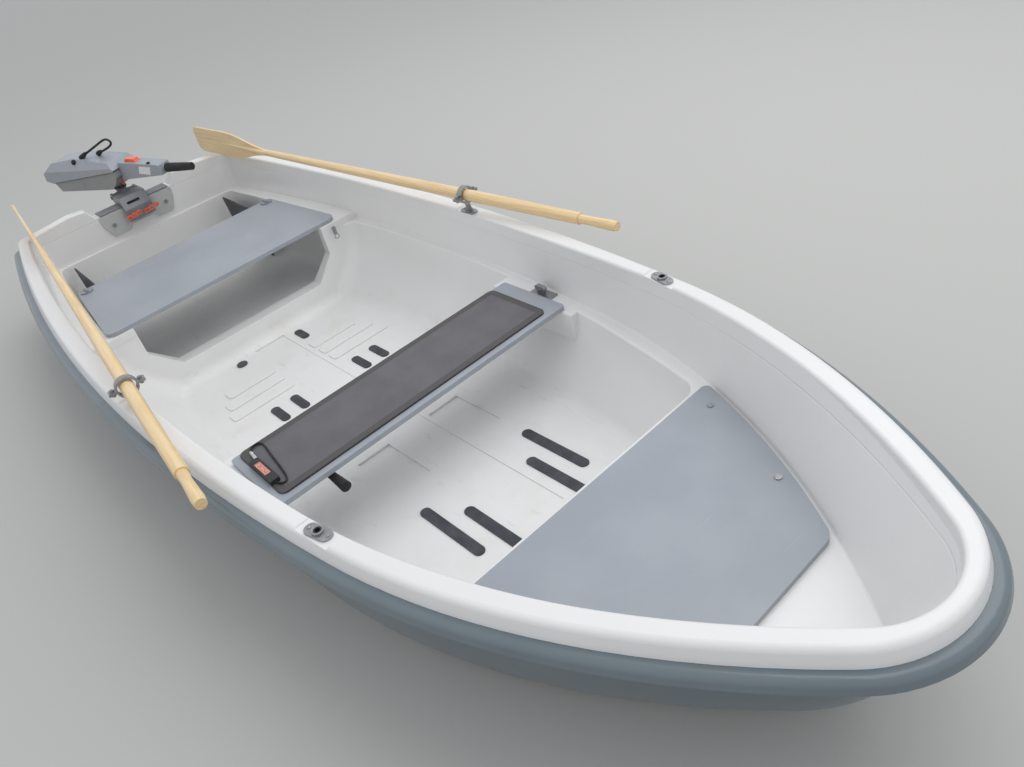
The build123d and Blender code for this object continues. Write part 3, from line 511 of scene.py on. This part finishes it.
# The oars are of pine, planed and varnished, honey yellow with darker rings and a few small knots.
# The grain runs along the shaft, so it is laid in each oar's own directions: it points a little
# outboard and falls a little to the blade.
OAR_TOE = math.radians(5.75)
OAR_FALL = -0.0166
GRAIN_STRETCH = (0.9, 16, 16)
PINE_LIGHT = (0.850, 0.650, 0.360, 1)
PINE_DARK = (0.730, 0.490, 0.215, 1)
PINE_LINE = (0.58, 0.35, 0.13, 1)
PINE_KNOT = (0.34, 0.16, 0.06, 1)
for side, name in ((1, "oar_port"), (-1, "oar_starboard")):
    shaft_line = (math.cos(OAR_TOE), side * math.sin(OAR_TOE), OAR_FALL)
    pine = Paint(name + "_pine", Coat_Weight=0.30, Coat_Roughness=0.22, IOR=1.5)
    dot = pine.add("ShaderNodeVectorMath", {"operation": "DOT_PRODUCT"}, {0: pine.place, 1: shaft_line})
    along = dot.output("Value")
    across = pine.y * math.cos(OAR_TOE) - pine.x * (side * math.sin(OAR_TOE))
    upward = pine.z + along * -OAR_FALL
    laid = dict(enumerate(part * share for part, share in zip((along, across, upward), GRAIN_STRETCH)))
    grain = pine.add("ShaderNodeCombineXYZ", {}, laid)
    warp = pine.add("ShaderNodeTexNoise", {}, {"Vector": grain, "Scale": 1.1, "Detail": 3.0})
    rings = ((upward * 55 + across * 30 + warp * 9) * (2 * math.pi)).math("SINE") * 0.5 + 0.5
    fine = pine.add("ShaderNodeTexNoise", {},
                    {"Vector": grain, "Scale": 22.0, "Detail": 4.0, "Roughness": 0.65})
    spot = pine.add("ShaderNodeTexVoronoi", {}, {"Vector": grain, "Scale": 2.3}).ramp(0.085, 0.02)
    tone = pine.blend(rings * 0.6, PINE_LIGHT, PINE_DARK)
    tone = pine.blend(fine.ramp(0.45, 0.75) * 0.30, tone, PINE_LINE)
    pine.finish(colour=pine.blend(spot * 0.7, tone, PINE_KNOT),
                rough=fine * 0.12 + 0.26,
                height=fine * 0.00012 + rings * 0.00006)
    pine.dress(name)

# The outboard's clamp and swivel are cast in aluminium and painted grey.
# The paint is chipped to bare metal in small spots, and the castings' grain shows through it.
CAST_DARK = (0.205, 0.215, 0.235, 1)
CAST_LIGHT = (0.25, 0.26, 0.28, 1)
BARE_METAL = (0.52, 0.53, 0.54, 1)
cast = Paint("motor_casting", Coat_Weight=0.1)
chip = cast.noise(120, 5).ramp(0.66, 0.72)
cast.finish(colour=cast.blend(chip, cast.blend(cast.noise(20, 3), CAST_DARK, CAST_LIGHT), BARE_METAL),
            rough=cast.noise(90, 3) * 0.15 + 0.36,
            height=cast.noise(380, 3) * 0.00014,
            metal=chip * 0.8 + 0.15)
cast.dress("motor_clamp", "motor_swivel")

# The clamp's handles and the tiller's lever are of orange-red plastic, glossy and easy to see.
# They are moulded, and pinned to what they turn.
SIGNAL_DARK = (0.80, 0.085, 0.020, 1)
SIGNAL_LIGHT = (0.90, 0.15, 0.035, 1)
signal = Paint("signal_plastic", Coat_Weight=0.5, Coat_Roughness=0.1)
signal.finish(colour=signal.blend(signal.noise(50, 4).ramp(0.3, 0.7), SIGNAL_DARK, SIGNAL_LIGHT),
              rough=signal.noise(70, 3) * 0.15 + 0.22,
              height=signal.noise(260, 2) * 0.00008)
signal.dress("clamp_handles", "tiller_lever")

# The outboard's head, battery and arm are light grey plastic mouldings with a fine spark texture.
# A grooved seam runs round the head under the battery, with a painted shadow line under the battery's
# overhang, and the head is a warmer grey below it.
STEER = Vector((-1.992, 0, 0))
TURN = math.radians(26)
SEAM_AFT = (-0.336, 0.499)
SEAM_FORE = (0.092, 0.538)
SEAM_END = (0.0935, 0.0925)
SEAM_EDGE = (0.0024, 0.0012)
COVER_DARK = (0.305, 0.330, 0.365, 1)
COVER_LIGHT = (0.350, 0.375, 0.410, 1)
HEAD_TONE = (0.285, 0.288, 0.290, 1)
GRIME_TONE = (0.21, 0.215, 0.22, 1)
SEAM_SHADOW_TONE = (0.025, 0.025, 0.027, 1)
case = Paint("motor_moulding", Specular_IOR_Level=0.5, Coat_Weight=0.1, Coat_Roughness=0.3)
forward = (case.x - STEER.x) * math.cos(TURN) + case.y * math.sin(TURN)
rise = (SEAM_FORE[1] - SEAM_AFT[1]) / (SEAM_FORE[0] - SEAM_AFT[0])
over_seam = case.z - forward * rise - (SEAM_AFT[1] - SEAM_AFT[0] * rise)
on_head = forward.ramp(*SEAM_END)
# The dark line just under the seam is painted shadow from the battery's overhang; the same mask also bumps in
# the seam's groove.
seam_groove_and_shadow = abs(over_seam + 0.001).ramp(*SEAM_EDGE) * on_head
cover = case.blend(case.noise(6, 3), COVER_DARK, COVER_LIGHT)
cover = case.blend(over_seam.ramp(0.0, -0.001) * on_head, cover, HEAD_TONE)
cover = case.blend(case.noise(18, 5).ramp(0.50, 0.78) * 0.3, cover, GRIME_TONE)
case.finish(colour=case.blend(seam_groove_and_shadow, cover, SEAM_SHADOW_TONE),
            rough=case.noise(60, 3) * 0.16 + 0.34,
            height=case.noise(720, 2) * 0.00008 - seam_groove_and_shadow * 0.0012)
case.dress("motor_head", "motor_battery", "motor_tiller")

# A bare label of matt plastic film is stuck to the side of the tiller's arm.
# It has four slanted sides, in line with the arm's edges.


def on_motor(ahead, left, up):
    """A place given from the steering axis: ahead along the tiller, to the left of it, and up."""
    return STEER + Vector((ahead * math.cos(TURN) - left * math.sin(TURN),
                           ahead * math.sin(TURN) + left * math.cos(TURN), up))


ARM_SIDE = -0.033
LABEL_DEPTH = 0.0006
LABEL = [(0.224, 0.5426), (0.2906, 0.5362), (0.272, 0.500), (0.206, 0.509)]
LABEL_SHADE = (0.70, 0.70, 0.70, 1)
LABEL_WHITE = (0.78, 0.78, 0.78, 1)
film = Paint("label_film", Specular_IOR_Level=0.5)
film.finish(colour=film.blend(film.noise(60, 3), LABEL_SHADE, LABEL_WHITE),
            rough=film.noise(200, 3) * 0.15 + 0.3,
            height=film.noise(500, 2) * 0.00003)
label = bmesh.new()
slab(label, [on_motor(ahead, ARM_SIDE, up) for ahead, up in LABEL], on_motor(0, -LABEL_DEPTH, 0) - STEER)
settle(label, "arm_label", film.material, "motor", bevel=0.0002)

# The outboard's small rubber parts are a stopper and two boots pressed into the battery, and a nub
# behind the lever. The battery's stiff lead stands in a loop between the boots.
STOPPER = [(0, 0.012), (0.5, 0.012), (0.8, 0.0105), (1, 0.007)]
BOOT = [(0, 0.0115), (0.30, 0.0115), (0.34, 0.0095), (0.42, 0.0095),
        (0.46, 0.0110), (0.80, 0.0085), (1, 0.0058)]
NUB = [(0, 0.008), (0.7, 0.008), (1, 0.006)]
RUBBERS = [  # profile, start and end as ahead, left and up
    (STOPPER, (-0.142, -0.0556, 0.5900), (-0.142, -0.0660, 0.5962)),
    (BOOT, (-0.1115, -0.034, 0.600), (-0.072, -0.0266, 0.6210)),
    (BOOT, (-0.040, 0.008, 0.600), (-0.012, 0.008, 0.6125)),
    (NUB, (0.279, -0.022, 0.548), (0.279, -0.022, 0.557)),
]
LOOP_THICKNESS = 0.010
LOOP_PATH = [(-0.107, -0.033, 0.604), (-0.074, -0.027, 0.618), (-0.014, -0.015, 0.641),
             (0.040, -0.006, 0.663), (0.068, -0.001, 0.6705), (0.086, 0.004, 0.655),
             (0.072, 0.007, 0.637), (0.030, 0.008, 0.620), (-0.037, 0.008, 0.602)]
fittings = bmesh.new()
for profile, start, end in RUBBERS:
    turn(fittings, on_motor(*start), on_motor(*end), profile)
settle(fittings, "motor_rubbers", rubber.material, "motor", bevel=0.0005)
cable("battery_cable", [on_motor(*point) for point in LOOP_PATH], LOOP_THICKNESS, "motor", "battery_lead",
      length=0.346, stiffness="stiff", lay="loose")

# The pull tab under the head releases the tilt lock: a tongue of the same orange-red plastic.
# It is moulded with rounded edges and hooked on to the head's foot.
TAB_SIDE = -0.018
TAB_DEPTH = 0.005
TAB = [(0.046, 0.478), (0.066, 0.492), (0.071, 0.466), (0.064, 0.455), (0.054, 0.458)]
tab = bmesh.new()
slab(tab, [on_motor(ahead, TAB_SIDE, up) for ahead, up in TAB], on_motor(0, -TAB_DEPTH, 0) - STEER)
settle(tab, "pull_tab", signal.material, "motor", bevel=0.001)

# The outboard's shaft is a black anodised aluminium tube, drawn, with its streaks along it.
# The pod is a casting in dark paint and the propeller is moulded in dark plastic, both with a little
# green growth from the water.
TUBE_DARK = (0.05, 0.05, 0.054, 1)
TUBE_LIGHT = (0.09, 0.09, 0.095, 1)
POD_DARK = (0.06, 0.065, 0.07, 1)
POD_LIGHT = (0.09, 0.095, 0.10, 1)
GROWTH_TONE = (0.10, 0.105, 0.075, 1)
DRAWN = (1, 1, 0.2)
tube = Paint("shaft_anodised", Coat_Weight=0.1)
tube.finish(colour=tube.blend(tube.noise(16, 4, DRAWN).ramp(0.3, 0.7), TUBE_DARK, TUBE_LIGHT),
            rough=tube.noise(90, 3, DRAWN) * 0.2 + 0.3,
            height=tube.noise(500, 2) * 0.00004,
            metal=0.7 + tube.noise(20, 2) * 0.1)
tube.dress("motor_shaft")
deep = Paint("pod_paint", Coat_Weight=0.15, Coat_Roughness=0.2)
growth = deep.noise(30, 6).ramp(0.50, 0.72)
deep.finish(colour=deep.blend(growth * 0.5, deep.blend(deep.noise(8, 3), POD_DARK, POD_LIGHT), GROWTH_TONE),
            rough=deep.noise(70, 3) * 0.2 + 0.36 + growth * 0.15,
            height=deep.noise(240, 3) * 0.0002)
deep.dress("motor_pod", "propeller")
